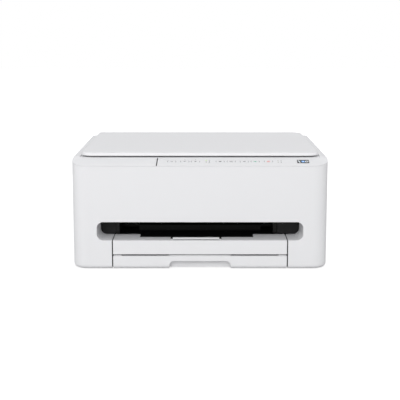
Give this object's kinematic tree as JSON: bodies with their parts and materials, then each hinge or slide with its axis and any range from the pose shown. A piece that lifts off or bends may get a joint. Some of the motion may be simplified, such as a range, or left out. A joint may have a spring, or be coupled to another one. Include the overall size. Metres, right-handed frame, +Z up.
{
  "type": "inkjet multifunction printer",
  "caption": "Compact desktop inkjet printer with a hinged flatbed scanner and cover, slanted button strip, pull-out output tray and front paper cassette.",
  "frame": {"origin": "on the table, below the middle of the casing", "axes": "+X to the right as seen from the front, +Y towards the rear, +Z up"},
  "size_m": [0.38, 0.313, 0.1722],
  "materials": {
    "white_plastic": "fine matte moulded plastic",
    "inner_white": "plain moulded plastic",
    "black_plastic": "matte black plastic",
    "dark_plastic": "matte dark grey plastic",
    "grey_plastic": "grey moulded plastic",
    "sheet_steel": "zinc-coated sheet steel",
    "shaft_steel": "ground steel",
    "rubber": "soft rubber",
    "grey_rubber": "grey rubber",
    "clear_glass": "clear float glass",
    "foam": "white sheet on foam",
    "circuit_board": "green lacquered board",
    "button_plastic": "satin plastic",
    "window_plastic": "dark glossy window",
    "ink_black": "cartridge plastic",
    "ink_colour": "cartridge plastic"
  },
  "bodies": {
    "root": {"outer_cover": "white_plastic", "rear_cover": "white_plastic", "case_screws": "sheet_steel", "bottom_case": "dark_plastic", "rubber_feet": "rubber", "output_liner": "black_plastic", "main_frame": "sheet_steel", "guide_shaft": "shaft_steel", "carriage_belt": "grey_rubber", "carriage_motor": "sheet_steel", "platen": "black_plastic", "roller_holders": "black_plastic", "feed_motor": "sheet_steel", "paper_guide": "black_plastic", "purge_unit": "dark_plastic", "logic_board": "circuit_board", "power_supply": "black_plastic", "hinge_brackets": "sheet_steel"},
    "rear_door": {"rear_door": "white_plastic"},
    "output_tray": {"output_tray": "white_plastic", "tray_plate": "black_plastic"},
    "paper_stopper": {"paper_stopper": "white_plastic"},
    "cassette": {"cassette_tray": "dark_plastic", "cassette_front": "white_plastic"},
    "side_guide_left": {"side_guide_left": "grey_plastic"},
    "side_guide_right": {"side_guide_right": "grey_plastic"},
    "length_guide": {"length_guide": "grey_plastic"},
    "motor_pulley": {"motor_pulley": "grey_plastic"},
    "idler_pulley": {"idler_pulley": "grey_plastic"},
    "feed_roller": {"feed_roller": "shaft_steel"},
    "eject_roller": {"eject_roller": "rubber"},
    "spur_wheels": {"spur_wheels": "shaft_steel"},
    "pinch_rollers": {"pinch_rollers": "grey_rubber"},
    "pickup_arm": {"pickup_arm": "black_plastic"},
    "pickup_roller": {"pickup_roller": "rubber"},
    "cap_sled": {"cap_sled": "grey_rubber"},
    "carriage": {"carriage": "dark_plastic", "black_cartridge": "ink_black", "colour_cartridge": "ink_colour"},
    "black_lever": {"black_lever": "grey_plastic"},
    "colour_lever": {"colour_lever": "grey_plastic"},
    "scanner_unit": {"scanner_cover": "white_plastic", "operation_panel": "white_plastic", "display_window": "window_plastic", "control_board": "circuit_board", "scanner_base": "dark_plastic", "platen_glass": "clear_glass", "scan_rod": "shaft_steel"},
    "scan_head": {"scan_head": "black_plastic"},
    "cover_hinges": {"cover_hinges": "inner_white"},
    "document_cover": {"document_cover": "white_plastic", "document_pad": "foam"},
    "panel_button_1": {"panel_button_1": "button_plastic"},
    "panel_button_2": {"panel_button_2": "button_plastic"},
    "panel_button_3": {"panel_button_3": "button_plastic"},
    "panel_button_4": {"panel_button_4": "button_plastic"},
    "panel_button_5": {"panel_button_5": "button_plastic"},
    "panel_button_6": {"panel_button_6": "button_plastic"},
    "panel_button_7": {"panel_button_7": "button_plastic"},
    "panel_button_8": {"panel_button_8": "button_plastic"}
  },
  "joints": [
    {"name": "scanner_hinge", "type": "hinge", "parent": "root", "child": "scanner_unit", "pos_m": [0, 0.15, 0.1522], "axis": [1, 0, 0], "range_deg": [-45, 0]},
    {"name": "cover_lift", "type": "slide", "parent": "scanner_unit", "child": "cover_hinges", "axis": [0, 0, 1], "range_m": [0, 0.012]},
    {"name": "cover_hinge", "type": "hinge", "parent": "cover_hinges", "child": "document_cover", "pos_m": [0, 0.1505, 0.169], "axis": [1, 0, 0], "range_deg": [-75, 0]},
    {"name": "scan_head_slide", "type": "slide", "parent": "scanner_unit", "child": "scan_head", "axis": [1, 0, 0], "range_m": [0, 0.28]},
    {"name": "output_tray_slide", "type": "slide", "parent": "root", "child": "output_tray", "axis": [0, -1, 0], "range_m": [0, 0.1]},
    {"name": "stopper_hinge", "type": "hinge", "parent": "output_tray", "child": "paper_stopper", "pos_m": [-0.006, -0.1439, 0.0431], "axis": [1, 0, 0], "range_deg": [0, 80]},
    {"name": "cassette_slide", "type": "slide", "parent": "root", "child": "cassette", "axis": [0, -1, 0], "range_m": [0, 0.26]},
    {"name": "side_guide_left_slide", "type": "slide", "parent": "cassette", "child": "side_guide_left", "axis": [1, 0, 0], "range_m": [0, 0.05]},
    {"name": "side_guide_right_slide", "type": "slide", "parent": "cassette", "child": "side_guide_right", "axis": [-1, 0, 0], "range_m": [0, 0.05]},
    {"name": "length_guide_slide", "type": "slide", "parent": "cassette", "child": "length_guide", "axis": [0, 1, 0], "range_m": [0, 0.06]},
    {"name": "rear_door_hinge", "type": "hinge", "parent": "root", "child": "rear_door", "pos_m": [0, 0.15525, 0.03725], "axis": [1, 0, 0], "range_deg": [-75, 0]},
    {"name": "carriage_slide", "type": "slide", "parent": "root", "child": "carriage", "axis": [1, 0, 0], "range_m": [-0.25, 0]},
    {"name": "black_lever_hinge", "type": "hinge", "parent": "carriage", "child": "black_lever", "pos_m": [0.112, 0.022, 0.1155], "axis": [1, 0, 0], "range_deg": [-15, 0]},
    {"name": "colour_lever_hinge", "type": "hinge", "parent": "carriage", "child": "colour_lever", "pos_m": [0.142, 0.022, 0.1155], "axis": [1, 0, 0], "range_deg": [-15, 0]},
    {"name": "motor_pulley_spin", "type": "hinge", "parent": "root", "child": "motor_pulley", "pos_m": [-0.145, 0.0505, 0.102], "axis": [0, 1, 0], "continuous": true},
    {"name": "idler_pulley_spin", "type": "hinge", "parent": "root", "child": "idler_pulley", "pos_m": [0.152, 0.0505, 0.102], "axis": [0, 1, 0], "continuous": true},
    {"name": "feed_spin", "type": "hinge", "parent": "root", "child": "feed_roller", "pos_m": [0, 0.035, 0.056], "axis": [1, 0, 0], "continuous": true},
    {"name": "eject_spin", "type": "hinge", "parent": "root", "child": "eject_roller", "pos_m": [0, -0.056, 0.054], "axis": [1, 0, 0], "continuous": true},
    {"name": "spur_spin", "type": "hinge", "parent": "root", "child": "spur_wheels", "pos_m": [0, -0.056, 0.0629], "axis": [1, 0, 0], "continuous": true},
    {"name": "pinch_spin", "type": "hinge", "parent": "root", "child": "pinch_rollers", "pos_m": [0, 0.037, 0.0639], "axis": [1, 0, 0], "continuous": true},
    {"name": "pickup_arm_swing", "type": "hinge", "parent": "root", "child": "pickup_arm", "pos_m": [0, 0.03, 0.034], "axis": [1, 0, 0], "range_deg": [0, 10]},
    {"name": "pickup_spin", "type": "hinge", "parent": "pickup_arm", "child": "pickup_roller", "pos_m": [0, 0.078, 0.0173], "axis": [1, 0, 0], "continuous": true},
    {"name": "cap_lift", "type": "slide", "parent": "root", "child": "cap_sled", "axis": [0, 0, 1], "range_m": [0, 0.0015]},
    {"name": "button_1_press", "type": "slide", "parent": "scanner_unit", "child": "panel_button_1", "axis": [0, 0.2943, -0.9557], "range_m": [0, 0.0005], "stiffness_N_per_m": 400},
    {"name": "button_2_press", "type": "slide", "parent": "scanner_unit", "child": "panel_button_2", "axis": [0, 0.2943, -0.9557], "range_m": [0, 0.0005], "stiffness_N_per_m": 400},
    {"name": "button_3_press", "type": "slide", "parent": "scanner_unit", "child": "panel_button_3", "axis": [0, 0.2943, -0.9557], "range_m": [0, 0.0005], "stiffness_N_per_m": 400},
    {"name": "button_4_press", "type": "slide", "parent": "scanner_unit", "child": "panel_button_4", "axis": [0, 0.2943, -0.9557], "range_m": [0, 0.0005], "stiffness_N_per_m": 400},
    {"name": "button_5_press", "type": "slide", "parent": "scanner_unit", "child": "panel_button_5", "axis": [0, 0.2943, -0.9557], "range_m": [0, 0.0005], "stiffness_N_per_m": 400},
    {"name": "button_6_press", "type": "slide", "parent": "scanner_unit", "child": "panel_button_6", "axis": [0, 0.2943, -0.9557], "range_m": [0, 0.0005], "stiffness_N_per_m": 400},
    {"name": "button_7_press", "type": "slide", "parent": "scanner_unit", "child": "panel_button_7", "axis": [0, 0.2943, -0.9557], "range_m": [0, 0.0005], "stiffness_N_per_m": 400},
    {"name": "button_8_press", "type": "slide", "parent": "scanner_unit", "child": "panel_button_8", "axis": [0, 0.2943, -0.9557], "range_m": [0, 0.0005], "stiffness_N_per_m": 400}
  ],
  "couplings": [
    {"joint": "side_guide_right_slide", "follows": "side_guide_left_slide", "ratio": 1},
    {"joint": "motor_pulley_spin", "follows": "carriage_slide", "rad_per_m": -153.8},
    {"joint": "idler_pulley_spin", "follows": "carriage_slide", "rad_per_m": -153.8},
    {"joint": "eject_spin", "follows": "feed_spin", "ratio": 1.25},
    {"joint": "spur_spin", "follows": "feed_spin", "ratio": -1.087},
    {"joint": "pinch_spin", "follows": "feed_spin", "ratio": -1.923}
  ]
}
